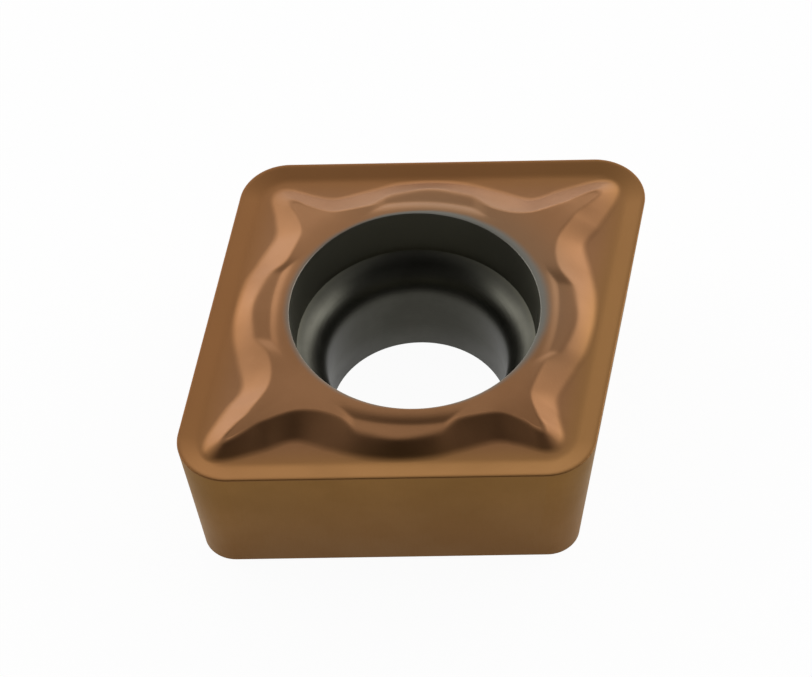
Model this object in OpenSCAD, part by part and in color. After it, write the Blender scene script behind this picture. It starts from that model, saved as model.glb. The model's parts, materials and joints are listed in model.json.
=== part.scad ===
// Indexable cutting insert: a rhombic blank with clearance on all four flanks, a chipbreaker
// pressed into its top, and a countersunk hole for the clamping screw. One sintered piece.
// Origin: centre of the seat face, on the axis of the hole. X runs along one cutting edge.

/* [Blank] */
// Diameter of the circle that touches all four cutting edges
ic_d = 6.35; // [5.2:0.05:9.6]
// Height of the cutting edges above the seat
edge_h = 2.38; // [1.9:0.02:3.2]
// Angle between the two edges that meet in an acute corner
acute_angle = 80; // [70:1:90]
// Clearance angle of the flanks
relief_angle = 7; // [3:1:15]
// Radius of the four corners, seen from above
corner_r = 0.8; // [0.4:0.05:1.2]
// Rounding of the cutting edge
hone_r = 0.03; // [0.01:0.005:0.06]

/* [Screw hole] */
// Diameter of the straight bore
bore_d = 2.8; // [2:0.05:3.4]
// Height of the straight bore, up to the start of the rounded screw seat
bore_h = 1.15; // [0.6:0.05:1.3]
// Radius of the rounded screw seat, in section
seat_r = 0.63; // [0.4:0.01:0.8]
// Angle that the rounded seat turns through, from upright towards level
seat_turn = 75.5; // [50:0.5:85]
// Slope of the steep cone over the seat, away from upright
cone_slope = 6.4; // [2:0.1:12]
// Edge break at both ends of the hole
hole_break = 0.03; // [0.01:0.01:0.06]

/* [Chipbreaker] */
// Width of the flat land behind the rounding of the cutting edge
land_w = 0.05; // [0.02:0.01:0.12]
// Distance from the cutting edge to the end of the rake slope
rake_w = 0.31; // [0.2:0.01:0.38]
// Depth of the groove floor below the cutting edges
groove_drop = 0.05; // [0.01:0.005:0.12]
// Height of the island in the middle above the cutting edges
island_rise = 0.16; // [0.08:0.01:0.3]
// Clear floor between the rake slope at an acute corner and the nose of the ridge there
acute_nose_gap = 0.01; // [0.005:0.005:0.2]
// Clear floor between the rake slope at an obtuse corner and the nose of the ridge there
obtuse_nose_gap = 0.15; // [0.005:0.005:0.3]
// Length of the steep slope at the nose of a ridge, seen from above
nose_l = 0.28; // [0.2:0.01:0.4]
// Length of the ramp on top of a ridge, from the island down to the nose
ramp_l = 0.48; // [0.3:0.01:0.6]
// Drop of the ramp
ramp_drop = 0.08; // [0.04:0.01:0.12]

/* [Terraces] */
// Depth of the crescent terraces below the island
terrace_drop = 0.055; // [0.02:0.005:0.1]
// Width of the sloped step behind a terrace
step_w = 0.09; // [0.05:0.01:0.15]
// Ring of the island that is left between a step and the mouth of the hole
ring_w = 0.185; // [0.1:0.005:0.3]
// Radius of the step, seen from above
step_r = 3; // [2.4:0.1:4]
// Reach of a terrace towards the acute corner, from the middle of the hole
terrace_acute_l = 1.02; // [0.6:0.02:1.1]
// Reach of a terrace towards the obtuse corner, from the middle of the hole
terrace_obtuse_l = 0.56; // [0.3:0.02:0.7]

/* [Hidden] */

// Facets of the revolved hole, and steps of the spline between two stations
$fn = 96;
spline_steps = 5;
// Overshoot of a cutter past the face that it opens
eps = 0.2;

ledge_z = bore_h + seat_r * sin(seat_turn);
ledge_r = bore_d / 2 + seat_r * (1 - cos(seat_turn));
island_z = edge_h + island_rise;
floor_z = edge_h - groove_drop;
terrace_z = island_z - terrace_drop;
mouth_r = ledge_r + (island_z - ledge_z) * tan(cone_slope);
half_acute = acute_angle / 2;
half_obtuse = 90 - half_acute;

// The top is drawn in one of the four quarters between its diagonals, and the others mirror it.
// There a point is [angle, radius] round the hole, and the angle runs from the diagonal of an
// acute corner, at 0, to that of an obtuse corner, at 90.

// Stations along the wall of the island: the angle, and the share of the way out from the mouth
// of the hole to the rake slope, of its foot and then of its crest
wall = [
    [0, 1, 0, 1],
    [1.7, 0.98, 0.3, 0.95],
    [3, 0.93, 0.6, 0.895],
    [5, 0.865, 1.1, 0.81],
    [8, 0.775, 2.8, 0.605],
    [13, 0.615, 7.5, 0.405],
    [22.5, 0.7, 17.5, 0.36],
    [34, 0.875, 31, 0.425],
    [45, 0.935, 44.5, 0.5],
    [56.5, 0.87, 58, 0.4],
    [65.5, 0.73, 68.5, 0.32],
    [76, 0.665, 80, 0.415],
    [82.7, 0.79, 86.8, 0.635],
    [86.3, 0.895, 89.1, 0.835],
    [88, 0.97, 89.6, 0.915],
    [90, 1, 90, 1]
];
// Angle from a diagonal over which the setback of a nose fades out
nose_fade = 30;

// Rings up the wall, as shares of its width in plan, and the shares of that width that the
// fillet at its foot and the rounding at its crest take
wall_steps = [0, 0.15, 0.3, 0.45, 0.88, 0.95, 1];
foot_fillet = 0.45;
crest_fillet = 0.12;
// Rings down the rake slope, as shares of its width
rake_steps = [1/3, 2/3, 1];
// Setback of the innermost ring behind the crest
setback = 0.03;

// One value of a Catmull-Rom curve between b and c, with the neighbours a and d
function between(a, b, c, d, t) =
    b + (c - a) * t / 2
      + (2 * a - 5 * b + 4 * c - d) * t * t / 2
      + (3 * b - a - 3 * c + d) * t * t * t / 2;

// The stations' columns i and i + 1 as a smooth curve of [angle, share]. Past each end of the
// quarter the curve is mirrored.
function curve(i) =
    let (
        last = len(wall) - 1,
        at = [for (w = wall) [w[i], w[i + 1]]],
        all = concat([[-at[1].x, at[1].y]], at, [[180 - at[last - 1].x, at[last - 1].y]])
    )
    concat(
        [for (k = [0 : last - 1], t = [0 : spline_steps - 1])
            between(all[k], all[k + 1], all[k + 2], all[k + 3], t / spline_steps)],
        [at[last]]
    );

// Distance from the hole's axis to the blank's outline, moved inward by inset, at an angle from
// the diagonal of a corner with the half angle half
function corner_reach(angle, half, inset) =
    let (
        centre = (ic_d / 2 - corner_r) / sin(half),
        arc = corner_r - inset,
        arc_end = atan2(arc * cos(half), centre + arc * sin(half))
    )
    angle < arc_end
        ? centre * cos(angle) + sqrt(arc * arc - pow(centre * sin(angle), 2))
        : (ic_d / 2 - inset) / sin(half + angle);

function reach(angle, inset) =
    angle < half_obtuse
        ? corner_reach(angle, half_acute, inset)
        : corner_reach(90 - angle, half_obtuse, inset);

function fade(angle) = angle < nose_fade ? pow(cos(90 * angle / nose_fade), 2) : 0;

// The end of the rake slope, and behind it near the diagonals by the noses' gaps and by back
function nose_reach(angle, back) =
    reach(angle, rake_w)
      - (acute_nose_gap + back) * fade(angle)
      - (obtuse_nose_gap + back) * fade(90 - angle);

function out_from_mouth(points, back) =
    [for (p = points) [p.x, mouth_r + p.y * (nose_reach(p.x, back) - mouth_r)]];

foot = out_from_mouth(curve(0), 0);
crest = out_from_mouth(curve(2), nose_l);

function plan(points) = [for (p = points) p.y * [cos(p.x), sin(p.x)]];

// Height of the wall at the share u of its width: a fillet, a straight slope and a rounded crest
function wall_share(u) =
    let (slope = 1 / (1 - (foot_fillet + crest_fillet) / 2))
    u < foot_fillet ? slope * u * u / (2 * foot_fillet)
    : u > 1 - crest_fillet ? 1 - slope * (1 - u) * (1 - u) / (2 * crest_fillet)
    : slope * (u - foot_fillet / 2);

function smooth(u) = u * u * (3 - 2 * u);

// A whole ring from the plan points of one quarter and their heights, turned into the model's axes
function ring(points, heights) =
    let (
        last = len(points) - 1,
        quarter = [for (i = [0 : last]) concat(points[i], heights[i])],
        half = concat(
            [for (i = [0 : last - 1]) quarter[i]],
            [for (i = [last : -1 : 1]) [-quarter[i].x, quarter[i].y, quarter[i].z]]
        ),
        whole = concat(half, [for (p = half) [-p.x, -p.y, p.z]])
    )
    [for (p = whole) [
        -p.x * cos(half_acute) + p.y * sin(half_acute),
        -p.x * sin(half_acute) - p.y * cos(half_acute),
        p.z
    ]];

function level(z) = [for (p = foot) z];

// A ring on the blank's outline at the height z, moved inward by inset
function outline_ring(z, inset) = ring(plan([for (p = foot) [p.x, reach(p.x, inset)]]), level(z));

// Distance of the top of the ramp from the hole's axis
function ramp_top(angle) = nose_reach(angle, nose_l + ramp_l);

function crest_z(p) = island_z - ramp_drop * max(0, p.y - ramp_top(p.x)) / ramp_l;

// A ring on the wall at the share u of its width
function wall_ring(u) = ring(
    plan(foot) * (1 - u) + plan(crest) * u,
    [for (p = crest) floor_z + (crest_z(p) - floor_z) * wall_share(u)]
);

// The edge of the level island, just behind the crest and at the top of the ramps
function island_ring() =
    ring(plan([for (p = crest) [p.x, min(p.y, ramp_top(p.x)) - setback]]), level(island_z));

// A closed solid through rings of equal length round the hole's axis, from the seat upward and
// inward, with a level face inside the first ring and inside the last
module loft(rings) {
    n = len(rings[0]);
    last = len(rings) - 1;
    low = (last + 1) * n;
    polyhedron(
        points = concat(
            [for (r = rings, p = r) p],
            [[0, 0, rings[0][0].z], [0, 0, rings[last][0].z]]
        ),
        faces = concat(
            [for (i = [0 : n - 1]) [i, (i + 1) % n, low]],
            [for (k = [0 : last - 1], i = [0 : n - 1]) [k * n + i, (k + 1) * n + i, k * n + (i + 1) % n]],
            [for (k = [0 : last - 1], i = [0 : n - 1])
                [k * n + (i + 1) % n, (k + 1) * n + i, (k + 1) * n + (i + 1) % n]],
            [for (i = [0 : n - 1]) [last * n + i, low + 1, last * n + (i + 1) % n]]
        )
    );
}

// Blank and chipbreaker: flanks, honed edge, land, rake slope, wall and island
module pressed_blank() {
    land_end = hone_r + land_w;
    loft(concat(
        [outline_ring(0, edge_h * tan(relief_angle))],
        [outline_ring(edge_h - hone_r, hone_r * tan(relief_angle))],
        [outline_ring(edge_h - hone_r * (1 - sin(45)), hone_r * (1 - cos(45)))],
        [outline_ring(edge_h, hone_r)],
        [outline_ring(edge_h, land_end)],
        [for (u = rake_steps)
            outline_ring(edge_h - groove_drop * smooth(u), land_end + (rake_w - land_end) * u)],
        [for (u = wall_steps) wall_ring(u)],
        [island_ring()]
    ));
}

// The screw hole as a solid: straight bore, rounded seat, steep cone and two edge breaks
module screw_hole() {
    bore_r = bore_d / 2;
    rotate_extrude()
        difference() {
            polygon([
                [0, -eps],
                [bore_r + hole_break + eps, -eps],
                [bore_r, hole_break],
                [bore_r, bore_h],
                [ledge_r, bore_h],
                [ledge_r, ledge_z],
                [mouth_r - hole_break / 2, island_z - hole_break],
                [mouth_r + hole_break / 2, island_z],
                [mouth_r + hole_break / 2, island_z + eps],
                [0, island_z + eps]
            ]);
            translate([bore_r + seat_r, bore_h]) circle(r = seat_r);
        }
}

// The room above one crescent terrace, on the side whose edge faces -Y. It is a bar with sloped
// ends, cut back by a cone: the step behind the terrace is flatter than the mouth of the hole.
module terrace_room() {
    top_z = island_z + eps;
    slope = step_w / terrace_drop;
    spread = (top_z - terrace_z) * slope;
    outer_y = ic_d / 2 - rake_w;
    step_y = mouth_r + ring_w + step_w;
    difference() {
        translate([0, -step_y + step_w + eps, 0])
            rotate([90, 0, 0])
            linear_extrude(outer_y - step_y + step_w + eps)
            polygon([
                [-terrace_acute_l, terrace_z],
                [terrace_obtuse_l, terrace_z],
                [terrace_obtuse_l + spread, top_z],
                [-terrace_acute_l - spread, top_z]
            ]);
        translate([0, step_r - step_y, terrace_z - eps])
            cylinder(
                h = top_z - terrace_z + 2 * eps,
                r1 = step_r + eps * slope,
                r2 = step_r - spread - eps * slope
            );
    }
}

module insert() {
    color("#b08050")
    difference() {
        pressed_blank();
        screw_hole();
        for (turn = [0, 180])
            rotate(turn) {
                terrace_room();
                rotate(acute_angle) mirror([0, 1, 0]) terrace_room();
            }
    }
}

insert();
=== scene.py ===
"""A rhombic carbide cutting insert, modelled and dressed over its CAD frame."""

import json
import logging
import math
from bisect import bisect_left
from dataclasses import dataclass, field
from enum import Enum
from typing import Callable

import bmesh
import bpy
from mathutils import Matrix, Vector


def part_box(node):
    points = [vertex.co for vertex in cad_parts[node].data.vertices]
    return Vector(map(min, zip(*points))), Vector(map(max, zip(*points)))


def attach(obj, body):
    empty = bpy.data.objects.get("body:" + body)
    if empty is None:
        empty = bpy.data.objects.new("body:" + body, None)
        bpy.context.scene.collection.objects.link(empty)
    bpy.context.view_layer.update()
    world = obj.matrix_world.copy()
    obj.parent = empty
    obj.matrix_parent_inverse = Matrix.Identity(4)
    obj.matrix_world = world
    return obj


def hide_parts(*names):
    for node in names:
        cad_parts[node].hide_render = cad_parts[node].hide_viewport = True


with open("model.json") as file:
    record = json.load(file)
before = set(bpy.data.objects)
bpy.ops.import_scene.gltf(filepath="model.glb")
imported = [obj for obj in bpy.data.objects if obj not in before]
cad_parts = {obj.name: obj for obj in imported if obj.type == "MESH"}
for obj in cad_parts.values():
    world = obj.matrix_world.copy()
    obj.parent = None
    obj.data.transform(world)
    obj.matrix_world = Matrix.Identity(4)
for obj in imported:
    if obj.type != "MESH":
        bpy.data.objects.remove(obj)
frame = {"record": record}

LOG = logging.getLogger("insert")
MM = 0.001
# Digits that are kept of a length in millimetres read from the frame.
FRAME_DIGITS = 4
# This many roundings apart, two values no longer touch each other's rounding.
FAR_APART = 60.0
# Sockets of a Mix node that it uses for colours.
MIX_FIRST, MIX_SECOND, MIX_RESULT = 6, 7, 2

Colour = tuple[float, float, float]
Polar = tuple[float, float]
Span = tuple[float, float]
Feed = float | Colour | bpy.types.NodeSocket | None

WHITE: Colour = (1.0, 1.0, 1.0)


class Zone(Enum):
    """Material zones of the insert, in the order of its material slots."""

    PRESSED = 0
    FLANK = 1
    BARE = 2


def between(a: float, b: float, c: float, d: float, t: float) -> float:
    """Read a Catmull-Rom curve between b and c.

    Args:
        a: Value before b.
        b: Value at t = 0.
        c: Value at t = 1.
        d: Value after c.
        t: Place between b and c.

    Returns:
        The curve's value at t.
    """
    first = (c - a) * t / 2
    second = (2 * a - 5 * b + 4 * c - d) * t * t / 2
    third = (3 * b - a - 3 * c + d) * t**3 / 2
    return b + first + second + third


def smooth(u: float) -> float:
    """Ease u from 0 to 1 with level ends."""
    u = min(1.0, max(0.0, u))
    return u * u * (3 - 2 * u)


def eased(u: float, start: float, end: float) -> float:
    """Climb from 0 to 1 on a straight line with a curve at each end.

    Args:
        u: Share of the way.
        start: Share that the first curve takes.
        end: Share that the last curve takes.

    Returns:
        The share of the climb.
    """
    slope = 1 / (1 - (start + end) / 2)
    if u < start:
        return slope * u * u / (2 * start)
    if u > 1 - end:
        return 1 - slope * (1 - u) ** 2 / (2 * end)
    return slope * (u - start / 2)


def spread(
    start: float, end: float, count: int, ease: Callable[[float], float] = float
) -> list[float]:
    """Spread count values from start, which is left out, to end, even or eased."""
    return [start + (end - start) * ease(k / count) for k in range(1, count + 1)]


def soft_max(a: float, b: float, k: float) -> float:
    """Return the larger of a and b, with the corner between them rounded by k."""
    high, low = max(a, b), min(a, b)
    return high + k * math.log1p(math.exp(max(-FAR_APART, (low - high) / k)))


def soft_min(a: float, b: float, k: float) -> float:
    """Return the smaller of a and b, with the corner between them rounded by k."""
    return -soft_max(-a, -b, k)


def make_object(name: str, bm: bmesh.types.BMesh) -> bpy.types.Object:
    """Make an object of a bmesh and free that.

    Args:
        name: Name of the object and its mesh.
        bm: The shape.

    Returns:
        The object, at the origin.
    """
    mesh = bpy.data.meshes.new(name)
    bm.to_mesh(mesh)
    bm.free()
    made = bpy.data.objects.new(name, mesh)
    bpy.context.scene.collection.objects.link(made)
    return made


@dataclass(frozen=True)
class Station:
    """One station of the island's wall, in the quarter from the acute to the obtuse diagonal.

    Angles are from the acute diagonal, in degrees. A foot's share is of the way from the mouth
    to the rake slope, and a crest's of the way to the noses' line.
    """

    foot_angle: float
    foot_share: float
    crest_angle: float
    crest_share: float


@dataclass(frozen=True)
class Blank:
    """The rhombic blank, in millimetres and degrees.

    The relief is the lean of its flanks, and seat_flat the width of the rings at the rims of
    its seat face, which keep the shading there flat.
    """

    inscribed_d: float = 6.35
    edge_h: float = 2.38
    acute: float = 80.0
    relief: float = 7.0
    corner_r: float = 0.8
    hone_r: float = 0.022
    seat_break: float = 0.012
    seat_flat: float = 0.1

    def half(self, angle: float) -> float:
        """Return half of the corner's angle that the ray at angle runs towards."""
        return self.acute / 2 if angle < 90 - self.acute / 2 else 90 - self.acute / 2

    def reach(self, angle: float, inset: float) -> float:
        """Measure from the hole's axis to the outline.

        Args:
            angle: Angle of the ray from the acute diagonal.
            inset: How far the outline is moved inward.

        Returns:
            The distance along the ray.
        """
        half = math.radians(self.half(angle))
        turn = math.radians(angle if self.half(angle) == self.acute / 2 else 90 - angle)
        centre = (self.inscribed_d / 2 - self.corner_r) / math.sin(half)
        arc = self.corner_r - inset
        arc_end = math.atan2(arc * math.cos(half), centre + arc * math.sin(half))
        if turn < arc_end:
            return centre * math.cos(turn) + math.sqrt(arc * arc - (centre * math.sin(turn)) ** 2)
        return (self.inscribed_d / 2 - inset) / math.sin(half + turn)

    def inset_at(self, x: float, y: float) -> float:
        """Measure how far a point of the quarter lies inside the outline.

        Args:
            x: Place along the acute diagonal.
            y: Place along the obtuse diagonal.

        Returns:
            The distance to the outline.
        """
        half = math.radians(self.acute / 2)
        lean = math.pi / 2 - half
        inner = self.inscribed_d / 2 - self.corner_r
        for along, across, turn, end in ((x, y, half, lean), (y, x, lean, half)):
            past = along - inner / math.sin(turn)
            if past > 0 and math.atan2(across, past) < end:
                return self.corner_r - math.hypot(past, across)
        return self.inscribed_d / 2 - x * math.cos(lean) - y * math.sin(lean)

    def flank_inset(self, z: float) -> float:
        """Return how far the flank stands back at the height z."""
        return (self.edge_h - z) * math.tan(math.radians(self.relief))


@dataclass(frozen=True)
class ScrewHole:
    """The screw hole: straight bore, rounded seat and steep cone, in millimetres and degrees.

    The rounded seat turns outward by seat_turn from the bore's top to the ledge. The ledge is
    drawn in by ledge_in, and the cone's lowest ring lies ledge_out and ledge_rise off it. The
    broken edge at the mouth is as full as mouth_swing, and the one at the bore's foot has its
    middle at foot_share.
    """

    bore_r: float
    bore_h: float = 1.15
    seat_r: float = 0.63
    seat_turn: float = 75.5
    cone_slope: float = 6.4
    edge_break: float = 0.014
    mouth_steps: int = 4
    mouth_swing: float = 0.9
    ledge_out: float = 0.008
    ledge_rise: float = 0.02
    ledge_in: float = 0.004
    seat_steps: int = 14
    foot_share: float = 0.35

    def seat(self, angle: float) -> Polar:
        """Return the radius and height of the rounded seat where it has turned by angle."""
        cos, sin = math.cos(math.radians(angle)), math.sin(math.radians(angle))
        return self.bore_r + self.seat_r * (1 - cos), self.bore_h + self.seat_r * sin

    @property
    def ledge(self) -> Polar:
        """Radius and height of the corner where the rounded seat meets the cone."""
        return self.seat(self.seat_turn)

    def mouth_r(self, top: float) -> float:
        """Return the radius of the mouth in a top face at the height top."""
        radius, height = self.ledge
        return radius + (top - height) * math.tan(math.radians(self.cone_slope))

    def section(self, top: float) -> list[Polar]:
        """List the wall's section from the mouth down to the seat face.

        Args:
            top: Height of the top face.

        Returns:
            Radius and height of each ring of the wall.
        """
        edge, mouth, (ledge_r, ledge_z) = self.edge_break, self.mouth_r(top), self.ledge
        rings = [(mouth + edge / 2, top)]
        for k in range(1, self.mouth_steps):
            turn = math.radians(90 * k / self.mouth_steps)
            out = edge * (0.5 - math.sin(turn)) * self.mouth_swing
            rings.append((mouth + out, top - edge * (1 - math.cos(turn))))
        rings.append((mouth - edge / 2, top - edge))
        rings.append((ledge_r + self.ledge_out, ledge_z + self.ledge_rise))
        rings.append((ledge_r - self.ledge_in, ledge_z))
        for k in range(1, self.seat_steps + 1):
            rings.append(self.seat(self.seat_turn * (1 - k / self.seat_steps)))
        rings += [(self.bore_r, self.bore_h / 2), (self.bore_r, edge)]
        rings.append((self.bore_r + edge * self.foot_share, edge * self.foot_share))
        rings.append((self.bore_r + edge, 0.0))
        return rings


@dataclass(frozen=True)
class Chipbreaker:
    """The pressed top: land, rake slope, wall, ridges and crescent terraces.

    Lengths are in millimetres and angles in degrees. The stations' shares run out to foot_inset
    from the cutting edge, less the setbacks of the noses, which fade out at the angle nose_fade
    from a diagonal. The wall's width is foot_reach of the way from its crest to the station's
    foot. Down a ramp its rounded crest grows by crest_soft. The slope of a terrace's ends is
    end_softness of the slope of the step behind it.
    """

    blank: Blank
    hole: ScrewHole
    top: float
    foot_inset: float = 0.31
    foot_reach: float = 1.08
    rake_w: float = 0.38
    rake_start: float = 0.12
    rake_fillet: float = 0.3
    groove_drop: float = 0.05
    acute_gap: float = 0.01
    obtuse_gap: float = 0.15
    nose_l: float = 0.45
    nose_fade: float = 30.0
    ramp_l: float = 0.6
    ramp_drop: float = 0.08
    ramp_round: float = 0.1
    foot_fillet: float = 0.12
    crest_fillet: float = 0.05
    crest_soft: float = 0.09
    terrace_drop: float = 0.047
    step_w: float = 0.12
    ring_w: float = 0.155
    step_r: float = 3.0
    terrace_acute_l: float = 0.91
    terrace_obtuse_l: float = 0.47
    end_slant: float = 3.0
    end_softness: float = 0.63
    end_round: float = 0.015
    press_round: float = 0.012
    stations: tuple[Station, ...] = (
        Station(0, 1, 0, 1),
        Station(1.7, 0.99, 0.46, 0.986),
        Station(3.4, 0.955, 0.75, 0.932),
        Station(5.8, 0.885, 1.2, 0.833),
        Station(8.8, 0.79, 2.4, 0.67),
        Station(13.1, 0.65, 7.1, 0.432),
        Station(23.2, 0.745, 18.2, 0.33),
        Station(34.8, 0.89, 32.2, 0.415),
        Station(45, 0.935, 44.5, 0.5),
        Station(55.8, 0.895, 57, 0.39),
        Station(64.3, 0.785, 67.3, 0.29),
        Station(76.3, 0.71, 79.8, 0.42),
        Station(81.7, 0.798, 84.7, 0.535),
        Station(84.4, 0.885, 87.9, 0.745),
        Station(86.4, 0.955, 88.8, 0.891),
        Station(88.2, 0.99, 89.5, 0.977),
        Station(90, 1, 90, 1),
    )

    @property
    def mouth_r(self) -> float:
        """Radius of the hole's mouth."""
        return self.hole.mouth_r(self.top)

    @property
    def step_axis(self) -> float:
        """Distance from the hole's axis to the axis that a step curves round."""
        return self.mouth_r + self.ring_w + self.step_w - self.step_r

    @property
    def side_turn(self) -> float:
        """Angle in radians from the acute diagonal to the middle of a side."""
        return math.radians(90 - self.blank.acute / 2)

    def fade(self, angle: float) -> float:
        """Fade a nose's setback out with the angle from its diagonal."""
        share = min(1.0, angle / self.nose_fade)
        return math.cos(math.radians(90 * share)) ** 2

    def nose_reach(self, angle: float, back: float) -> float:
        """Return how far out the shares run, moved back near the diagonals by the noses."""
        return (
            self.blank.reach(angle, self.foot_inset)
            - (self.acute_gap + back) * self.fade(angle)
            - (self.obtuse_gap + back) * self.fade(90 - angle)
        )

    def ramp_top(self, angle: float) -> float:
        """Return the distance of the top of a ramp from the hole's axis."""
        return self.nose_reach(angle, self.nose_l + self.ramp_l)

    def read(self, values: list[float], mirror: float, place: float) -> float:
        """Read one column of the stations as a smooth curve.

        Args:
            values: The column.
            mirror: Value at the last station that the curve is mirrored about, or 0 for a share.
            place: Station number, with a fraction between two stations.

        Returns:
            The curve's value there.
        """
        last = len(values) - 1
        k = min(int(place), last - 1)
        start = -values[1] if mirror else values[1]
        end = 2 * mirror - values[last - 1] if mirror else values[last - 1]
        before = values[k - 1] if k > 0 else start
        after = values[k + 2] if k + 2 <= last else end
        return between(before, values[k], values[k + 1], after, place - k)

    def wall_line(self, spots: list[Polar], back: float, place: float) -> Polar:
        """Read a line of the wall at a place along the stations.

        Args:
            spots: The line's angle and share at each station.
            back: How far the noses move it back near the diagonals.
            place: Station number, with a fraction between two stations.

        Returns:
            The angle and radius there.
        """
        angle = self.read([a for a, _ in spots], 90.0, place)
        share = self.read([s for _, s in spots], 0.0, place)
        return angle, self.mouth_r + share * (self.nose_reach(angle, back) - self.mouth_r)

    def foot(self, place: float) -> Polar:
        """Return the angle and radius of the wall's foot."""
        spots = [(s.foot_angle, s.foot_share) for s in self.stations]
        return self.wall_line(spots, 0.0, place)

    def crest(self, place: float) -> Polar:
        """Return the angle and radius of the wall's crest."""
        spots = [(s.crest_angle, s.crest_share) for s in self.stations]
        return self.wall_line(spots, self.nose_l, place)

    def groove(self, inset: float) -> float:
        """Measure the height of the rake slope and the groove.

        Args:
            inset: Distance from the cutting edge.

        Returns:
            The height.
        """
        u = (inset - self.blank.hone_r) / (self.rake_w - self.blank.hone_r)
        share = eased(min(1.0, max(0.0, u)), self.rake_start, self.rake_fillet)
        return self.blank.edge_h - self.groove_drop * share

    def island(self, angle: float, radius: float) -> float:
        """Return the height of the island, which ramps down towards the noses."""
        past = soft_max(0.0, radius - self.ramp_top(angle), self.ramp_round)
        return self.top - self.ramp_drop * past / self.ramp_l

    def crest_round(self, crest: Vector) -> float:
        """Measure the rounding of the wall's crest, which grows down the ramps.

        Args:
            crest: The crest in plan.

        Returns:
            The width of the rounding.
        """
        angle = math.degrees(math.atan2(crest.y, crest.x))
        past = (crest.length - self.ramp_top(angle)) / self.ramp_l
        return self.crest_fillet + self.crest_soft * smooth(past)

    def step_reach(self, angle: float, rise: float) -> float:
        """Measure from the hole's axis to the step behind a terrace.

        Args:
            angle: Angle of the ray from the acute diagonal.
            rise: Share of the step's rise, from 0 at its foot.

        Returns:
            The distance along the ray.
        """
        turn = math.radians(angle) - self.side_turn
        out = self.step_axis
        radius = self.step_r - rise * self.step_w
        return out * math.cos(turn) + math.sqrt(radius**2 - (out * math.sin(turn)) ** 2)

    def pressed(self, x: float, y: float, height: float) -> float:
        """Press the terrace of a side into a surface.

        Args:
            x: Place along the acute diagonal.
            y: Place along the obtuse diagonal.
            height: Height of the surface before.

        Returns:
            The height after.
        """
        turn, axis = self.side_turn, self.step_axis
        out = x * math.cos(turn) + y * math.sin(turn)
        along = x * math.sin(turn) - y * math.cos(turn)
        inside = self.step_r - math.hypot(along, out - axis)
        past_acute = along - self.terrace_acute_l
        past_obtuse = -along - self.terrace_obtuse_l
        past = soft_max(past_acute, past_obtuse, self.end_round)
        slant = math.radians(self.end_slant)
        past = past * math.cos(slant) + (out - axis - self.step_r) * math.sin(slant)
        rise = soft_max(inside, past * self.end_softness, self.end_round)
        rise = soft_max(0.0, rise, self.press_round)
        room = self.top - self.terrace_drop + rise * self.terrace_drop / self.step_w
        return soft_min(height, room, self.press_round)


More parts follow.
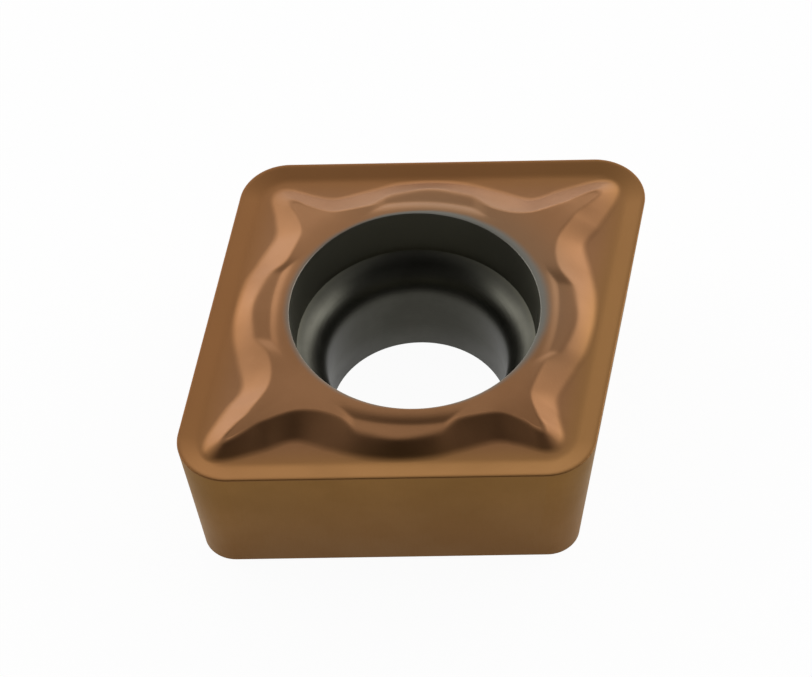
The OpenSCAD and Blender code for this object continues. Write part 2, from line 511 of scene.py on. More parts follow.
@dataclass
class InsertBody:
    """The whole insert as one closed skin of rings round the hole's axis.

    The columns of a quarter are spread over the wall's foot and crest in small marks, and each
    mark counts for mark_run millimetres more than its length, so that no stretch gets thin. The
    rake slope takes at most rake_room of the way to the wall's foot. A step lies within
    step_foot_room and step_top_room of the island's width.
    """

    blank: Blank
    hole: ScrewHole
    breaker: Chipbreaker
    columns: int = 240
    marks: int = 2400
    mark_run: float = 0.0012
    seat_rings: int = 2
    hone_rings: int = 4
    rake_rings: int = 12
    rake_room: float = 0.97
    wall_rings: int = 24
    crest_rings: int = 10
    step_rings: int = 7
    rim_rings: int = 6
    step_foot_room: float = 0.8
    step_top_room: float = 0.55
    sharp_angle: float = 38.0
    rings: list[list[Vector]] = field(default_factory=list)
    zones: list[Zone] = field(default_factory=list)

    def places(self) -> list[float]:
        """Spread the columns of a quarter evenly along the wall's foot and crest.

        Returns:
            A place along the stations for each column.
        """
        last = len(self.breaker.stations) - 1
        marks = [last * k / self.marks for k in range(self.marks + 1)]
        flat = [
            [self.flat(*self.breaker.foot(m)), self.flat(*self.breaker.crest(m))] for m in marks
        ]
        run = [0.0]
        for before, after in zip(flat, flat[1:]):
            length = sum((b - a).length for a, b in zip(before, after))
            run.append(run[-1] + length + self.mark_run)
        chosen = []
        for k in range(self.columns + 1):
            want = run[-1] * k / self.columns
            i = min(max(bisect_left(run, want), 1), self.marks)
            share = (want - run[i - 1]) / (run[i] - run[i - 1])
            chosen.append(marks[i - 1] + (marks[i] - marks[i - 1]) * share)
        chosen[0], chosen[-1] = 0.0, float(last)
        return chosen

    @staticmethod
    def flat(angle: float, radius: float) -> Vector:
        """Turn an angle and a radius into a point in plan."""
        turn = math.radians(angle)
        return Vector((radius * math.cos(turn), radius * math.sin(turn)))

    def add(self, quarter: list[Vector], zone: Zone) -> None:
        """Add a whole ring from the points of one quarter.

        Args:
            quarter: Points from the acute to the obtuse diagonal, in millimetres.
            zone: Zone of the faces between this ring and the one before.
        """
        half = quarter[:-1] + [Vector((-p.x, p.y, p.z)) for p in quarter[:0:-1]]
        whole = half + [Vector((-p.x, -p.y, p.z)) for p in half]
        # The acute diagonal is turned from the x axis to its place in the frame.
        turn = math.radians(self.blank.acute / 2)
        cos, sin = math.cos(turn), math.sin(turn)
        ring = [Vector((-p.x * cos + p.y * sin, -p.x * sin - p.y * cos, p.z)) for p in whole]
        self.rings.append(ring)
        self.zones.append(zone)

    def add_outline(self, angles: list[float], z: float, inset: float, zone: Zone) -> None:
        """Add a ring on the blank's outline at the height z, moved inward by inset."""
        flat = [self.flat(a, self.blank.reach(a, inset)) for a in angles]
        self.add([Vector((p.x, p.y, z)) for p in flat], zone)

    def add_circle(self, angles: list[float], radius: float, z: float, zone: Zone) -> None:
        """Add a round ring at the height z."""
        flat = [self.flat(a, radius) for a in angles]
        self.add([Vector((p.x, p.y, z)) for p in flat], zone)

    def lay_out(self) -> None:
        """List every ring, from the seat face up the flanks, over the top and down the hole."""
        breaker, hole = self.breaker, self.hole
        places = self.places()
        crests = [breaker.crest(p) for p in places]
        feet = []
        for place, crest in zip(places, crests):
            foot, top = self.flat(*breaker.foot(place)), self.flat(*crest)
            foot = top + (foot - top) * breaker.foot_reach
            feet.append((math.degrees(math.atan2(foot.y, foot.x)), foot.length))
        self.lay_flanks([angle for angle, _ in feet])
        self.lay_rake(feet)
        self.lay_wall(feet, crests)
        self.lay_island(crests)
        even = [90 * k / self.columns for k in range(self.columns + 1)]
        for radius, z in hole.section(breaker.top)[1:]:
            zone = Zone.PRESSED if z > breaker.top - hole.edge_break else Zone.BARE
            self.add_circle(even, radius, z, zone)
        self.add_circle(even, hole.bore_r + self.blank.seat_flat, 0.0, Zone.FLANK)

    def lay_flanks(self, angles: list[float]) -> None:
        """Add the rim of the seat face, its broken edge, the flanks and the honed edge.

        Args:
            angles: Angle of each column of the quarter.
        """
        blank = self.blank
        small = blank.seat_break
        self.add_outline(angles, 0.0, blank.flank_inset(0.0) + blank.seat_flat, Zone.FLANK)
        for k in range(self.seat_rings + 1):
            turn = math.radians(90 * k / self.seat_rings)
            z = small * (1 - math.cos(turn))
            inset = blank.flank_inset(z) + small * (1 - math.sin(turn))
            self.add_outline(angles, z, inset, Zone.FLANK)
        for k in range(self.hone_rings + 1):
            turn = math.radians(90 * k / self.hone_rings)
            z = blank.edge_h - blank.hone_r * (1 - math.sin(turn))
            inset = blank.hone_r * (1 - math.cos(turn)) + blank.flank_inset(z) * math.cos(turn)
            self.add_outline(angles, z, inset, Zone.PRESSED if k else Zone.FLANK)

    def lay_rake(self, feet: list[Polar]) -> None:
        """Add the rake slope, from the hone to the groove or to the wall's foot.

        Args:
            feet: Angle and radius of the wall's foot in each column.
        """
        breaker, hone = self.breaker, self.blank.hone_r
        room = [self.rake_room * self.blank.inset_at(*self.flat(*foot)) for foot in feet]
        ends = [min(breaker.rake_w, most) for most in room]
        for k in range(1, self.rake_rings + 1):
            quarter = []
            for (angle, _), end in zip(feet, ends):
                inset = hone + (end - hone) * k / self.rake_rings
                p = self.flat(angle, self.blank.reach(angle, inset))
                quarter.append(Vector((p.x, p.y, breaker.groove(inset))))
            self.add(quarter, Zone.PRESSED)

    def lay_wall(self, feet: list[Polar], crests: list[Polar]) -> None:
        """Add the wall, from its foot on the groove's floor to its crest.

        Args:
            feet: Angle and radius of the wall's foot in each column.
            crests: Angle and radius of the wall's crest in each column.
        """
        breaker = self.breaker
        pairs = [(self.flat(*f), self.flat(*c), breaker.island(*c)) for f, c in zip(feet, crests)]
        for k in range(self.wall_rings + 1):
            u = k / self.wall_rings
            quarter = []
            for foot, crest, height in pairs:
                width = (foot - crest).length
                share = eased(u, breaker.foot_fillet / width, breaker.crest_round(crest) / width)
                p = foot.lerp(crest, u)
                floor = breaker.groove(self.blank.inset_at(p.x, p.y))
                z = breaker.pressed(p.x, p.y, floor + (height - floor) * share)
                quarter.append(Vector((p.x, p.y, z)))
            self.add(quarter, Zone.PRESSED)

    def lay_island(self, crests: list[Polar]) -> None:
        """Add the island, from the crest over the steps of the terraces to the mouth.

        Args:
            crests: Angle and radius of the wall's crest in each column.
        """
        breaker = self.breaker
        mouth = self.hole.section(breaker.top)[0][0]
        rows: list[list[Polar]] = []
        for i, (angle, radius) in enumerate(crests):
            even = 90 * i / self.columns
            width = radius - mouth
            low = min(breaker.step_reach(angle, 0.0), mouth + self.step_foot_room * width)
            high = min(breaker.step_reach(angle, 1.0), mouth + self.step_top_room * width)
            column = spread(radius, low, self.crest_rings, smooth)
            column += spread(low, high, self.step_rings)
            column += spread(high, mouth, self.rim_rings)
            turned = [smooth((low - r) / (low - mouth)) for r in column]
            rows.append([(angle + (even - angle) * t, r) for t, r in zip(turned, column)])
        for k in range(len(rows[0])):
            quarter = []
            for column in rows:
                p = self.flat(*column[k])
                z = breaker.pressed(p.x, p.y, breaker.island(*column[k]))
                quarter.append(Vector((p.x, p.y, z)))
            self.add(quarter, Zone.PRESSED)

    def build(self, low: Vector, high: Vector) -> bpy.types.Object:
        """Skin the rings into one closed mesh.

        Args:
            low: Lowest corner of the CAD node, in metres.
            high: Highest corner of the CAD node, in metres.

        Returns:
            The finished object, at the origin.
        """
        self.lay_out()
        bm = bmesh.new()
        # The circle may have any radius, because place() moves its vertices.
        bmesh.ops.create_circle(bm, cap_ends=False, segments=len(self.rings[0]), radius=MM)
        first = list(bm.verts)
        row, edges = first, list(bm.edges)
        self.place(row, self.rings[0], low, high)
        closed = zip(self.rings[1:] + self.rings[:1], self.zones[1:] + self.zones[:1])
        for ring, zone in closed:
            row, edges = self.extrude(bm, row, edges, zone)
            self.place(row, ring, low, high)
        bmesh.ops.weld_verts(bm, targetmap=dict(zip(row, first)))
        bmesh.ops.recalc_face_normals(bm, faces=bm.faces)
        for face in bm.faces:
            face.smooth = True
        piece = make_object("carbide_body", bm)
        piece.data.set_sharp_from_angle(angle=math.radians(self.sharp_angle))
        return piece

    @staticmethod
    def extrude(
        bm: bmesh.types.BMesh,
        row: list[bmesh.types.BMVert],
        edges: list[bmesh.types.BMEdge],
        zone: Zone,
    ) -> tuple[list[bmesh.types.BMVert], list[bmesh.types.BMEdge]]:
        """Extrude the last ring.

        Args:
            bm: The mesh.
            row: Vertices of the last ring, in order.
            edges: Its edges.
            zone: Zone of the new faces.

        Returns:
            The vertices of the new ring in the same order, and its edges.
        """
        made = bmesh.ops.extrude_edge_only(bm, edges=edges)["geom"]
        fresh = {v for v in made if isinstance(v, bmesh.types.BMVert)}
        for face in made:
            if isinstance(face, bmesh.types.BMFace):
                face.material_index = zone.value
        above = []
        for vert in row:
            others = (edge.other_vert(vert) for edge in vert.link_edges)
            above.append(next(other for other in others if other in fresh))
        rim = [e for e in made if isinstance(e, bmesh.types.BMEdge) and set(e.verts) <= fresh]
        return above, rim

    @staticmethod
    def place(
        row: list[bmesh.types.BMVert], ring: list[Vector], low: Vector, high: Vector
    ) -> None:
        """Put a ring's vertices in place, no further out than the CAD node.

        Args:
            row: The vertices.
            ring: Their places in millimetres.
            low: Lowest corner of the CAD node, in metres.
            high: Highest corner of the CAD node, in metres.
        """
        for vert, point in zip(row, ring):
            p = point * MM
            vert.co = Vector(min(max(p[i], low[i]), high[i]) for i in range(3))


class Nodes:
    """A small helper that adds and joins the shader nodes of one tree."""

    def __init__(self, tree: bpy.types.NodeTree) -> None:
        """Keep the tree."""
        self.tree = tree

    def add(self, kind: str, *feeds: Feed, **settings: object) -> bpy.types.Node:
        """Add a node.

        Args:
            kind: Node type without its Shader prefix, such as NodeMath.
            feeds: Value or output for each input in order, or None to leave it.
            settings: Attributes to set before the inputs.

        Returns:
            The node.
        """
        node = self.tree.nodes.new("Shader" + kind)
        for name, value in settings.items():
            setattr(node, name, value)
        for socket, feed in zip(node.inputs, feeds):
            self.feed(socket, feed)
        return node

    def feed(self, socket: bpy.types.NodeSocket, feed: Feed) -> None:
        """Give an input a value or join an output to it.

        Args:
            socket: The input.
            feed: The value or output, or None to leave the input.
        """
        if isinstance(feed, bpy.types.NodeSocket):
            self.tree.links.new(feed, socket)
        elif feed is not None:
            socket.default_value = (*feed, 1.0) if socket.type == "RGBA" else feed

    def feed_all(self, node: bpy.types.Node, feeds: dict[str, Feed]) -> None:
        """Feed a node's inputs by their names."""
        for name, feed in feeds.items():
            self.feed(node.inputs[name], feed)

    def group(self, tree: bpy.types.NodeTree, **feeds: Feed) -> bpy.types.bpy_prop_collection:
        """Add a node group.

        Args:
            tree: The group.
            feeds: Value or output for each input's name.

        Returns:
            Its outputs.
        """
        node = self.add("NodeGroup", node_tree=tree)
        self.feed_all(node, feeds)
        return node.outputs

    def math(
        self, operation: str, a: Feed, b: Feed = None, c: Feed = None
    ) -> bpy.types.NodeSocket:
        """Add a math node and return its output."""
        return self.add("NodeMath", a, b, c, operation=operation).outputs[0]

    def blend(self, share: Feed, first: Feed, second: Feed) -> bpy.types.NodeSocket:
        """Mix two colours.

        Args:
            share: Share of the second.
            first: The first colour.
            second: The second colour.

        Returns:
            The mix.
        """
        node = self.add("NodeMix", share, data_type="RGBA")
        self.feed(node.inputs[MIX_FIRST], first)
        self.feed(node.inputs[MIX_SECOND], second)
        return node.outputs[MIX_RESULT]

    def step(self, value: Feed, start: float, end: float) -> bpy.types.NodeSocket:
        """Ease from 0 at start to 1 at end."""
        eases = {"interpolation_type": "SMOOTHSTEP"}
        return self.add("NodeMapRange", value, start, end, 0.0, 1.0, **eases).outputs[0]

    def step_mm(self, value: Feed, span: Span) -> bpy.types.NodeSocket:
        """Ease from 0 at the start of a span in millimetres to 1 at its end."""
        return self.step(value, *(v * MM for v in span))

    def toward(self, x: Feed, y: Feed, angle: float) -> bpy.types.NodeSocket:
        """Measure how far a place lies in a direction of the plan.

        Args:
            x: The place's x.
            y: The place's y.
            angle: The direction in degrees from the x axis.

        Returns:
            The distance.
        """
        turn = math.radians(angle)
        right = self.math("MULTIPLY", x, math.cos(turn))
        return self.math("MULTIPLY_ADD", y, math.sin(turn), right)

    def noise(
        self, place: Feed, scale: Feed, detail: float, rough: float = 0.55
    ) -> bpy.types.NodeSocket:
        """Add a noise texture and return its value.

        Args:
            place: Where it is read.
            scale: Its scale, per metre.
            detail: Its number of octaves, past the first.
            rough: Weight of each octave against the one before.

        Returns:
            The noise, from 0 to 1.
        """
        node = self.add("NodeTexNoise", noise_dimensions="3D")
        feeds = {"Vector": place, "Scale": scale, "Detail": detail, "Roughness": rough}
        self.feed_all(node, feeds)
        return node.outputs[0]


def fresh_nodes(block: bpy.types.Material | bpy.types.World) -> Nodes:
    """Turn a material's or world's nodes on and clear them.

    Args:
        block: The material or world.

    Returns:
        Its nodes.
    """
    block.use_nodes = True
    block.node_tree.nodes.clear()
    return Nodes(block.node_tree)


class GroupNodes(Nodes):
    """The nodes of a new shader node group, from its start node to its end node."""

    def __init__(self, name: str, inputs: dict[str, str], outputs: dict[str, str]) -> None:
        """Make the group with its sockets.

        Args:
            name: Name of the group.
            inputs: Socket type for each input's name.
            outputs: Socket type for each output's name.
        """
        super().__init__(bpy.data.node_groups.new(name, "ShaderNodeTree"))
        for way, sockets in (("INPUT", inputs), ("OUTPUT", outputs)):
            for title, kind in sockets.items():
                self.tree.interface.new_socket(name=title, in_out=way, socket_type=kind)
        self.start = self.tree.nodes.new("NodeGroupInput")
        self.end = self.tree.nodes.new("NodeGroupOutput")


@dataclass(frozen=True)
class SinteredGrain:
    """The fine grain of sintered carbide, which shows in every finish. Scales are per metre."""

    detail: float = 3.0
    fine_rough: float = 0.6
    wide_scale: float = 900.0
    wide_rough: float = 0.5
    wide_edges: Span = (0.35, 0.68)
    wide_share: float = 0.6

    def group(self) -> bpy.types.NodeTree:
        """Make the group, with a mask of wide mottling and a height of fine grain.

        Returns:
            The group.
        """
        nodes = GroupNodes(
            "sintered_grain",
            {"Vector": "NodeSocketVector", "Scale": "NodeSocketFloat"},
            {"Mask": "NodeSocketFloat", "Height": "NodeSocketFloat"},
        )
        given = nodes.start.outputs
        fine = nodes.noise(given["Vector"], given["Scale"], self.detail, self.fine_rough)
        wide = nodes.noise(given["Vector"], self.wide_scale, self.detail, self.wide_rough)
        mask = nodes.step(wide, *self.wide_edges)
        height = nodes.math("MULTIPLY_ADD", wide, self.wide_share, fine)
        nodes.feed_all(nodes.end, {"Mask": mask, "Height": height})
        return nodes.tree


@dataclass(frozen=True)
class EdgeDistance:
    """The distance from the cutting edge in plan, for what changes towards the rim.

    A corner's arc takes over from its sides within corner_blend millimetres.
    """

    blank: Blank
    corner_blend: float = 0.05

    def group(self) -> bpy.types.NodeTree:
        """Make the group, with the distance in metres, positive inside the outline.

        Returns:
            The group.
        """
        nodes = GroupNodes(
            "edge_distance", {"Vector": "NodeSocketVector"}, {"Inset": "NodeSocketFloat"}
        )
        x, y, _ = nodes.add("NodeSeparateXYZ", nodes.start.outputs["Vector"]).outputs
        lean = math.radians(90 - self.blank.acute)
        inner = (self.blank.inscribed_d / 2 - self.blank.corner_r) * MM
        across = nodes.math("MULTIPLY", x, math.cos(lean))
        left = nodes.math("SUBTRACT", nodes.math("MULTIPLY", y, math.sin(lean)), across)
        front = nodes.math("MULTIPLY", y, -1.0)
        same = nodes.math("SIGN", nodes.math("MULTIPLY", left, front))
        past_left = nodes.math("SUBTRACT", nodes.math("ABSOLUTE", left), inner)
        past_front = nodes.math("SUBTRACT", nodes.math("ABSOLUTE", front), inner)
        straight = nodes.math("MAXIMUM", past_left, past_front)
        # Past both inner lines the distance is an arc's, round where the lines cross.
        square = nodes.math("MULTIPLY", past_left, past_left)
        square = nodes.math("MULTIPLY_ADD", past_front, past_front, square)
        cross = nodes.math("MULTIPLY", nodes.math("MULTIPLY", past_left, past_front), same)
        square = nodes.math("MULTIPLY_ADD", cross, 2 * math.sin(lean), square)
        arc = nodes.math("SQRT", nodes.math("MAXIMUM", square, 0.0))
        arc = nodes.math("DIVIDE", arc, math.cos(lean))
        past_both = nodes.math("MINIMUM", past_left, past_front)
        corner = nodes.step_mm(past_both, (0.0, self.corner_blend))
        more = nodes.math("SUBTRACT", arc, straight)
        reach = nodes.math("MULTIPLY_ADD", more, corner, straight)
        inset = nodes.math("SUBTRACT", self.blank.corner_r * MM, reach)
        nodes.feed(nodes.end.inputs["Inset"], inset)
        return nodes.tree


@dataclass(frozen=True)
class Effects:
    """The node groups that the finishes share."""

    grain: bpy.types.NodeTree
    edge: bpy.types.NodeTree


@dataclass
class Skin:
    """What varies over a surface: its colour, roughness and height."""

    colour: bpy.types.NodeSocket
    rough: bpy.types.NodeSocket
    height: bpy.types.NodeSocket


@dataclass(frozen=True)
class Finish:
    """A metallic finish: two clouded colours, a roughness and a fine grain.

    Scales are per metre, and the height of the bumps is in millimetres. Edges are the values
    of a noise between which a look fades in.
    """

    colour: Colour
    deep: Colour
    roughness: float
    rim_tint: Colour = WHITE
    metallic: float = 1.0
    cloud_scale: float = 420.0
    cloud_edges: Span = (0.34, 0.66)
    cloud_detail: float = 7.0
    cloud_rough: float = 0.62
    grain_scale: float = 26000.0
    grain_rough: float = 0.06
    bump_share: float = 0.18
    bump_h: float = 0.004

    def wear(self, nodes: Nodes, place: bpy.types.NodeSocket, effects: Effects, skin: Skin) -> None:
        """Change the skin where this finish differs from plain grained metal."""

    def dress(self, name: str, effects: Effects) -> bpy.types.Material:
        """Make the material.

        Args:
            name: Name of the material.
            effects: The shared node groups.

        Returns:
            The material.
        """
        material = bpy.data.materials.new(name)
        nodes = fresh_nodes(material)
        place = nodes.add("NodeTexCoord").outputs["Object"]
        grained = nodes.group(effects.grain, Vector=place, Scale=self.grain_scale)
        clouds = nodes.noise(place, self.cloud_scale, self.cloud_detail, self.cloud_rough)
        colour = nodes.blend(nodes.step(clouds, *self.cloud_edges), self.colour, self.deep)
        rough = nodes.math("MULTIPLY_ADD", grained["Mask"], self.grain_rough, self.roughness)
        skin = Skin(colour, rough, grained["Height"])
        self.wear(nodes, place, effects, skin)
        bump = nodes.add("NodeBump")
        relief = {"Strength": self.bump_share, "Distance": self.bump_h * MM}
        nodes.feed_all(bump, {**relief, "Height": skin.height})
        shader = nodes.add("NodeBsdfPrincipled")
        nodes.feed_all(
            shader,
            {
                "Base Color": skin.colour,
                "Metallic": self.metallic,
                "Specular Tint": self.rim_tint,
                "Roughness": skin.rough,
                "Normal": bump.outputs[0],
            },
        )
        nodes.add("NodeOutputMaterial", shader.outputs[0])
        return material


@dataclass(frozen=True)
class Coating(Finish):
    """The copper-brown coating of the pressed top, with a worn grey ring at the mouth.

    The rim is tinted with painted light and shade: golden on its lit side, which its turn points
    to, and a reddish brown on its shaded side, and the cutting edge is rougher. On the side of
    lean_turn the ring is wider and painted shade darkens the coating round it, and at the left and
    right the ring's soft edge is wider by ring_side_fade. Lengths are in millimetres, turns in
    degrees from the x axis, and a reach is where a look begins and where it is full.
    """

    colour: Colour = (0.247, 0.12, 0.054)
    deep: Colour = (0.216, 0.103, 0.045)
    roughness: float = 0.38
    # Painted light and shade on the rim: golden on its lit side, reddish brown on its shaded side.
    lit_rim_gold: Colour = (0.24, 0.119, 0.041)
    shaded_rim_russet: Colour = (0.238, 0.107, 0.039)
    lit_rim_turn: float = -45.0
    lit_rim_fade: float = 2.0
    painted_rim_reach: Span = (0.75, 0.25)
    hone_reach: Span = (0.05, 0.02)
    hone_rough: float = 0.2
    bare: Colour = (0.145, 0.139, 0.12)
    mouth_r: float = 1.96
    lean_turn: float = 41.0
    ring_w: float = -0.015
    ring_lean_w: float = 0.08
    ring_fade: float = 0.035
    ring_side_fade: float = 0.095
    ragged_w: float = 0.04
    ragged_scale: float = 2600.0
    ragged_detail: float = 4.0
    worn_edges: Span = (1.0, -0.2)
    # Painted shade over the coating round the mouth, on the side of lean_turn.
    painted_shade: Colour = (0.19, 0.108, 0.058)
    painted_shade_reach: Span = (0.9, 0.1)
    painted_shade_share: float = 0.8

    def wear(self, nodes: Nodes, place: bpy.types.NodeSocket, effects: Effects, skin: Skin) -> None:
        """Paint light and shade, roughen the hone and wear the mouth's ring down to grey carbide.
        """
        self.paint_rim_light_and_roughen_hone(nodes, place, effects, skin)
        self.shade_and_wear_mouth(nodes, place, skin)

    def paint_rim_light_and_roughen_hone(
        self, nodes: Nodes, place: bpy.types.NodeSocket, effects: Effects, skin: Skin
    ) -> None:
        """Paint light and shade on the rim, golden on its lit side, and roughen the hone.

        Args:
            nodes: The material's nodes.
            place: Where the skin is read.
            effects: The shared node groups.
            skin: The skin, which is changed.
        """
        inset = nodes.group(effects.edge, Vector=place)["Inset"]
        x, y, _ = nodes.add("NodeSeparateXYZ", place).outputs
        # Painted light and shade: the rim turns golden on its lit side and reddish brown on its
        # shaded side.
        side = nodes.toward(x, y, self.lit_rim_turn)
        lit_side_share = nodes.step_mm(side, (-self.lit_rim_fade, self.lit_rim_fade))
        painted_rim_light = nodes.blend(lit_side_share, self.shaded_rim_russet, self.lit_rim_gold)
        skin.colour = nodes.blend(nodes.step_mm(inset, self.painted_rim_reach), skin.colour, painted_rim_light)
        hone = nodes.step_mm(inset, self.hone_reach)
        skin.rough = nodes.math("MULTIPLY_ADD", hone, self.hone_rough, skin.rough)

    def shade_and_wear_mouth(self, nodes: Nodes, place: bpy.types.NodeSocket, skin: Skin) -> None:
        """Paint shade round one side of the mouth, and wear its ring down to grey carbide.

        Args:
            nodes: The material's nodes.
            place: Where the skin is read.
            skin: The skin, which is changed.
        """
        x, y, _ = nodes.add("NodeSeparateXYZ", place).outputs
        square = nodes.math("MULTIPLY_ADD", y, y, nodes.math("MULTIPLY", x, x))
        past = nodes.math("SUBTRACT", nodes.math("SQRT", square), self.mouth_r * MM)
        lean = nodes.step_mm(nodes.toward(x, y, self.lean_turn), (0.0, self.mouth_r))
        # Painted shade: the coating round the mouth is darkened on the side of lean_turn.
        near = nodes.step_mm(past, self.painted_shade_reach)
        painted_shade = nodes.math("MULTIPLY", nodes.math("MULTIPLY", near, lean), self.painted_shade_share)
        skin.colour = nodes.blend(painted_shade, skin.colour, self.painted_shade)
        width = nodes.math("MULTIPLY_ADD", lean, self.ring_lean_w * MM, self.ring_w * MM)
        ragged = nodes.noise(place, self.ragged_scale, self.ragged_detail)
        reach = nodes.math("SUBTRACT", past, width)
        reach = nodes.math("MULTIPLY_ADD", ragged, self.ragged_w * MM, reach)
        reach = nodes.math("SUBTRACT", reach, self.ragged_w * MM / 2)
        side = nodes.math("ABSOLUTE", x)
        gain = self.ring_side_fade / self.mouth_r
        fade = nodes.math("MULTIPLY_ADD", side, gain, self.ring_fade * MM)
        worn = nodes.step(nodes.math("DIVIDE", reach, fade), *self.worn_edges)
        skin.colour = nodes.blend(worn, skin.colour, self.bare)


@dataclass(frozen=True)
class GroundFlank(Finish):
    """The coating over the ground flanks: olive brown, with fine upright grinding lines.

    Lengths are in millimetres. Along the lines their noise is scaled by line_stretch.
    """

    colour: Colour = (0.252, 0.125, 0.034)
    deep: Colour = (0.22, 0.108, 0.028)
    roughness: float = 0.42
    rim_tint: Colour = (1.0, 0.96, 0.84)
    cloud_scale: float = 380.0
    # Painted shade towards the flank's foot: a darker, redder brown.
    brown: Colour = (0.226, 0.097, 0.022)
    foot_shade_share: float = 0.85
    line_pitch: float = 0.03
    line_stretch: float = 0.03
    line_detail: float = 2.0
    line_share: float = 0.5
    line_rough: float = 0.06
    top_h: float = 2.38

    def wear(self, nodes: Nodes, place: bpy.types.NodeSocket, effects: Effects, skin: Skin) -> None:
        """Paint shade towards the flank's foot, and add grinding lines that run up it.

        Args:
            nodes: The material's nodes.
            place: Where the skin is read.
            effects: The shared node groups, not used here.
            skin: The skin, which is changed.
        """
        height = nodes.add("NodeSeparateXYZ", place).outputs[2]
        # Painted shade: the flank turns a darker, redder brown towards its foot.
        low = nodes.step_mm(height, (self.top_h, 0.0))
        brown = nodes.math("MULTIPLY", low, self.foot_shade_share)
        skin.colour = nodes.blend(brown, skin.colour, self.brown)
        stretched = nodes.add("NodeMapping", place)
        nodes.feed(stretched.inputs["Scale"], (1.0, 1.0, self.line_stretch))
        lines = nodes.noise(stretched.outputs[0], 1 / (self.line_pitch * MM), self.line_detail)
        skin.height = nodes.math("MULTIPLY_ADD", lines, self.line_share, skin.height)
        skin.rough = nodes.math("MULTIPLY_ADD", lines, self.line_rough, skin.rough)


@dataclass(frozen=True)
class GroundCarbide(Finish):
    """Bare ground carbide: dark grey, with fine rings from grinding round the hole.

    The cone over the rounded seat is paler, and its look fades in between the heights cone_h,
    in millimetres.
    """

    colour: Colour = (0.088, 0.086, 0.07)
    deep: Colour = (0.068, 0.066, 0.053)
    roughness: float = 0.29
    metallic: float = 0.95
    cloud_scale: float = 700.0
    grain_scale: float = 21000.0
    ring_pitch: float = 0.03
    ring_share: float = 0.8
    ring_rough: float = 0.08
    cone: Colour = (0.138, 0.133, 0.1)
    cone_rough: float = 0.06
    cone_h: Span = (1.73, 1.79)

    def wear(self, nodes: Nodes, place: bpy.types.NodeSocket, effects: Effects, skin: Skin) -> None:
        """Add the rings, which vary with the height alone, and the paler cone.

        Args:
            nodes: The material's nodes.
            place: Where the skin is read.
            effects: The shared node groups, not used here.
            skin: The skin, which is changed.
        """
        height = nodes.add("NodeSeparateXYZ", place).outputs[2]
        rings = nodes.add("NodeTexNoise", noise_dimensions="1D")
        nodes.feed_all(rings, {"W": height, "Scale": 1 / (self.ring_pitch * MM)})
        skin.height = nodes.math("MULTIPLY_ADD", rings.outputs[0], self.ring_share, skin.height)
        skin.rough = nodes.math("MULTIPLY_ADD", rings.outputs[0], self.ring_rough, skin.rough)
        cone = nodes.step_mm(height, self.cone_h)
        skin.rough = nodes.math("MULTIPLY_ADD", cone, self.cone_rough, skin.rough)
        skin.colour = nodes.blend(cone, skin.colour, self.cone)


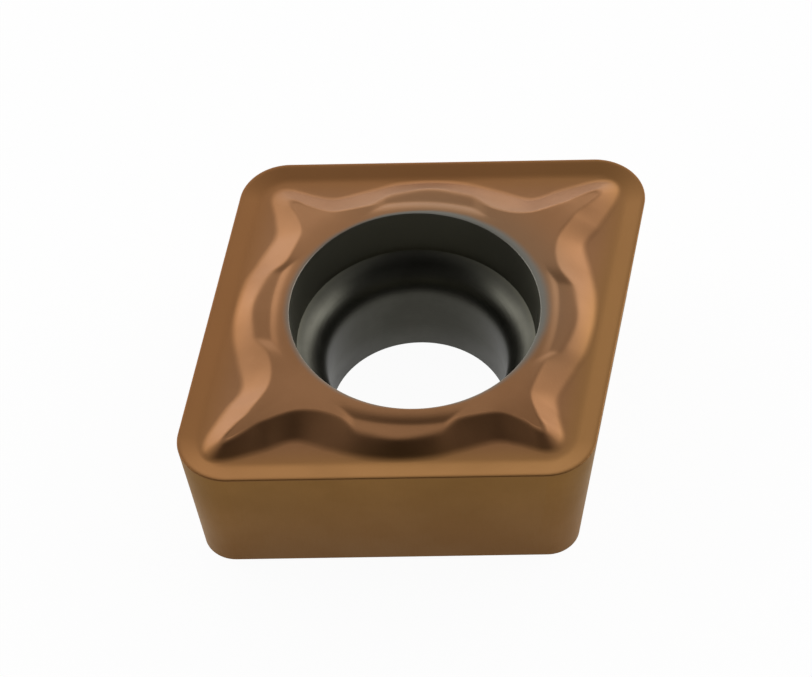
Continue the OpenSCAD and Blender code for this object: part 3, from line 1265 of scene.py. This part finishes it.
@dataclass(frozen=True)
class Studio:
    """The pale floor, the soft light and the camera.

    The camera is turned in degrees and aims at the hole's axis, with distance and aim_h in
    millimetres, and its focal length and shift in pixels of the photograph, which is photo_w
    wide. Its clip distances and the floor's radius are in metres. The floor shows white by
    floor_glow to the eye and by floor_gleam in reflections. The sky lists rises over the
    horizon, from 0 to 1 overhead, each with the backdrop's strength. The sides add side_glow,
    which fades out at side_rise and leans to the right by side_tilt. From the front to the
    back, -1 to 1, the backdrop fades in over front_fade, and in front front_glow is left.
    """

    azimuth: float = 2.4984
    elevation: float = 51.0365
    roll: float = -2.9042
    distance: float = 82.354
    aim_h: float = 1.27
    photo_w: int = 812
    focal_px: float = 5247.81
    shift_px: tuple[float, float] = (-11.167, 22.595)
    sensor: float = 36.0
    clip: Span = (0.005, 10.0)
    floor_r: float = 1.5
    floor_sides: int = 96
    floor_tone: Colour = (0.95, 0.95, 0.95)
    floor_glow: float = 0.96
    floor_gleam: float = 0.55
    floor_gap: float = 0.002
    sky: tuple[tuple[float, float], ...] = (
        (0.0, 3.2),
        (0.25, 1.2),
        (0.4, 1.7),
        (0.54, 2.3),
        (0.75, 0.37),
        (0.92, 0.75),
        (1.0, 0.2),
    )
    sky_scale: float = 4.0
    side_glow: float = 1.1
    side_rise: float = 1.1
    side_tilt: float = 0.22
    front_fade: Span = (-0.35, 0.1)
    front_glow: float = 0.05

    def place_camera(self) -> None:
        """Make the camera at the photograph's angle."""
        turn, lift, roll = (math.radians(v) for v in (self.azimuth, self.elevation, self.roll))
        level = math.cos(lift)
        back = Vector((math.sin(turn) * level, -math.cos(turn) * level, math.sin(lift)))
        right = (-back).cross(Vector((0, 0, 1))).normalized()
        up = back.cross(right)
        side = right * math.cos(roll) + up * math.sin(roll)
        rise = up * math.cos(roll) - right * math.sin(roll)
        lens = bpy.data.cameras.new("camera")
        lens.sensor_width = self.sensor
        lens.lens = self.focal_px / self.photo_w * self.sensor
        lens.shift_x, lens.shift_y = (v / self.photo_w for v in self.shift_px)
        lens.clip_start, lens.clip_end = self.clip
        body = bpy.data.objects.new("camera", lens)
        bpy.context.scene.collection.objects.link(body)
        spot = Vector((0, 0, self.aim_h * MM)) + back * (self.distance * MM)
        turned = Matrix((side, rise, back)).transposed().to_4x4()
        body.matrix_world = Matrix.Translation(spot) @ turned
        bpy.context.scene.camera = body

    def lay_floor(self, z: float) -> None:
        """Lay the floor a hair under the seat face.

        Args:
            z: Height of the seat face.
        """
        bm = bmesh.new()
        bmesh.ops.create_circle(bm, cap_ends=True, segments=self.floor_sides, radius=self.floor_r)
        bm.normal_update()
        bmesh.ops.reverse_faces(bm, faces=[f for f in bm.faces if f.normal.z < 0])
        floor = make_object("floor", bm)
        floor.location.z = z - self.floor_gap * MM
        floor.data.materials.append(self.floor_finish())

    def floor_finish(self) -> bpy.types.Material:
        """Make the floor's material, white to the eye, with the shadow, and clear from below.

        Returns:
            The material.
        """
        material = bpy.data.materials.new("pale_floor")
        nodes = fresh_nodes(material)
        rays = nodes.add("NodeLightPath").outputs
        mirrored = nodes.math("MAXIMUM", rays["Is Glossy Ray"], rays["Is Transmission Ray"])
        gleam = nodes.math("MULTIPLY", mirrored, self.floor_gleam)
        share = nodes.math("MULTIPLY_ADD", rays["Is Camera Ray"], self.floor_glow, gleam)
        matt = nodes.add("NodeBsdfDiffuse", self.floor_tone)
        glow = nodes.add("NodeEmission", WHITE, 1.0)
        mixed = nodes.add("NodeMixShader", share, matt.outputs[0], glow.outputs[0])
        below = nodes.add("NodeNewGeometry").outputs["Backfacing"]
        clear = nodes.add("NodeBsdfTransparent")
        shown = nodes.add("NodeMixShader", below, mixed.outputs[0], clear.outputs[0])
        nodes.add("NodeOutputMaterial", shown.outputs[0])
        return material

    def light(self) -> None:
        """Light the insert from a pale half-round backdrop behind it, brightest low down."""
        world = bpy.data.worlds.new("studio")
        bpy.context.scene.world = world
        nodes = fresh_nodes(world)
        place = nodes.add("NodeTexCoord").outputs["Generated"]
        x, y, z = nodes.add("NodeSeparateXYZ", place).outputs
        ramp = nodes.add("NodeValToRGB", z)
        ramp.color_ramp.interpolation = "B_SPLINE"
        stops = ramp.color_ramp.elements
        # New stops go in anywhere, and then each moves to its place.
        while len(stops) < len(self.sky):
            stops.new(0.5)
        for stop, (rise, level) in zip(stops, self.sky):
            stop.position = rise
            stop.color = (level / self.sky_scale,) * 3 + (1.0,)
        squares = [nodes.math("MULTIPLY", v, v) for v in (x, y)]
        plan = nodes.math("SQRT", nodes.math("ADD", *squares))
        behind = nodes.step(nodes.math("DIVIDE", y, plan), *self.front_fade)
        behind = nodes.math("MAXIMUM", behind, self.front_glow)
        side = nodes.math("MULTIPLY_ADD", x, self.side_tilt, nodes.math("ABSOLUTE", x))
        side = nodes.math("MULTIPLY", side, nodes.step(z, self.side_rise, 0.0))
        level = nodes.math("MULTIPLY_ADD", side, self.side_glow, 1.0)
        level = nodes.math("MULTIPLY", level, behind)
        level = nodes.math("MULTIPLY", level, self.sky_scale)
        sky = nodes.add("NodeBackground", ramp.outputs[0], level)
        nodes.add("NodeOutputWorld", sky.outputs[0])

    def build(self, z: float) -> None:
        """Build the whole studio round the insert.

        Args:
            z: Height of the seat face.
        """
        self.place_camera()
        self.lay_floor(z)
        self.light()
        bpy.context.scene.view_settings.view_transform = "Standard"


def report(name: str, action: Callable[[], bpy.types.Object]) -> bpy.types.Object:
    """Build a piece and log its size.

    Args:
        name: What the piece is.
        action: Builds the piece.

    Returns:
        The piece.
    """
    piece = action()
    LOG.info("%s: %d faces", name, len(piece.data.polygons))
    return piece


def main() -> None:
    """Build the insert, dress it, and set up the studio."""
    logging.basicConfig(level=logging.INFO)
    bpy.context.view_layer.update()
    low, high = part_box("insert")
    mounts = {m["name"]: m for m in frame["record"]["mounts"]}
    blank = Blank()
    hole = ScrewHole(bore_r=mounts["screw_bore"]["dims"]["r_mm"])
    breaker = Chipbreaker(blank, hole, top=round(high.z / MM, FRAME_DIGITS))
    body = report("carbide body", lambda: InsertBody(blank, hole, breaker).build(low, high))
    effects = Effects(SinteredGrain().group(), EdgeDistance(blank).group())
    for name, finish in (
        ("copper_coating", Coating(mouth_r=breaker.mouth_r)),
        ("ground_flank", GroundFlank(top_h=blank.edge_h)),
        ("bare_carbide", GroundCarbide()),
    ):
        body.data.materials.append(finish.dress(name, effects))
    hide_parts("insert")
    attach(body, "root")
    Studio().build(low.z)


if __name__ == "__main__":
    main()
